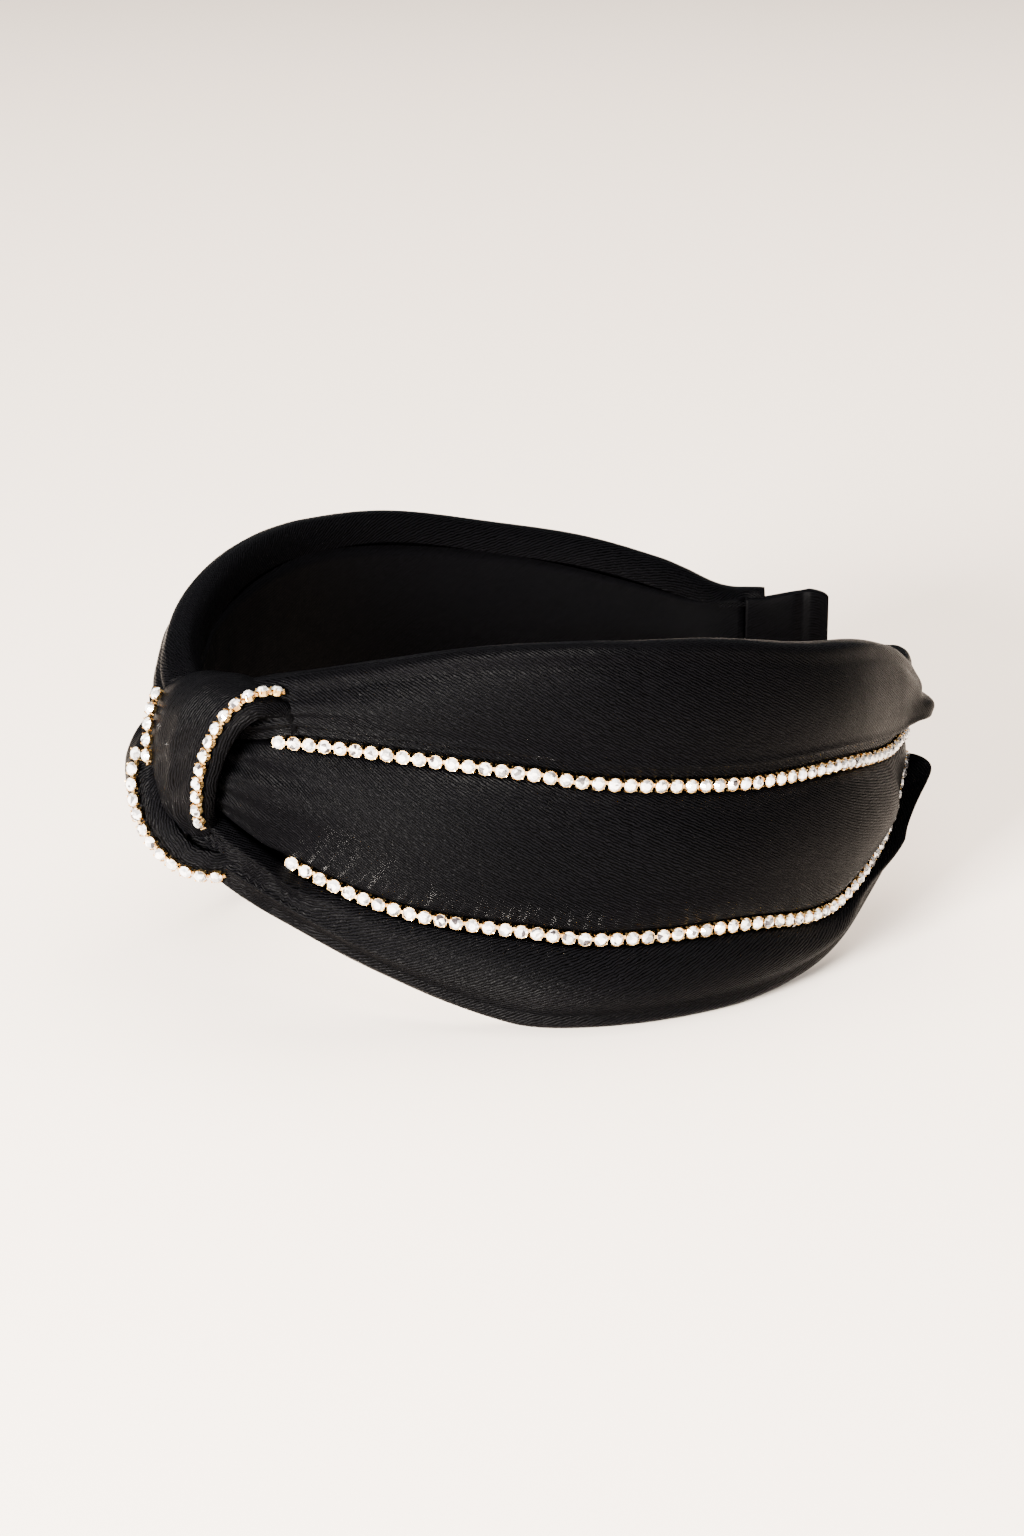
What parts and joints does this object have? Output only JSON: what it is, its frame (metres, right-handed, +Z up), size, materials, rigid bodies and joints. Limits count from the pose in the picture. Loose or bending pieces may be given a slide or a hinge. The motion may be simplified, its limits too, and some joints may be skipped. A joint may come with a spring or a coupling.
{
  "type": "knotted headband",
  "caption": "Wide padded satin headband with a twisted turban knot and rows of round stones in metal cups along its seams and the knot.",
  "frame": {"origin": "middle of the lower side of the whole, on the surface that it lies on", "axes": "+Z up from the surface; the knot faces -Y, the open ends face +Y, the right arm is on +X"},
  "size_m": [0.1198, 0.1652, 0.071],
  "materials": {
    "satin": "black satin, softly shiny",
    "cover": "black satin lining",
    "rhinestone_chain": "clear crystals in gold-coloured cups"
  },
  "bodies": {
    "root": {"inner_band": "cover", "right_upper_panel": "satin", "right_middle_panel": "satin", "right_lower_panel": "satin", "right_end_tab": "cover", "left_upper_panel": "satin", "left_middle_panel": "satin", "left_lower_panel": "satin", "left_end_tab": "cover", "right_upper_chain": "rhinestone_chain", "right_lower_chain": "rhinestone_chain", "left_upper_chain": "rhinestone_chain", "left_lower_chain": "rhinestone_chain", "knot_wrap": "satin", "knot_under_loop": "satin", "knot_right_chain": "rhinestone_chain", "knot_left_chain": "rhinestone_chain", "knot_under_chain": "rhinestone_chain"}
  },
  "joints": []
}
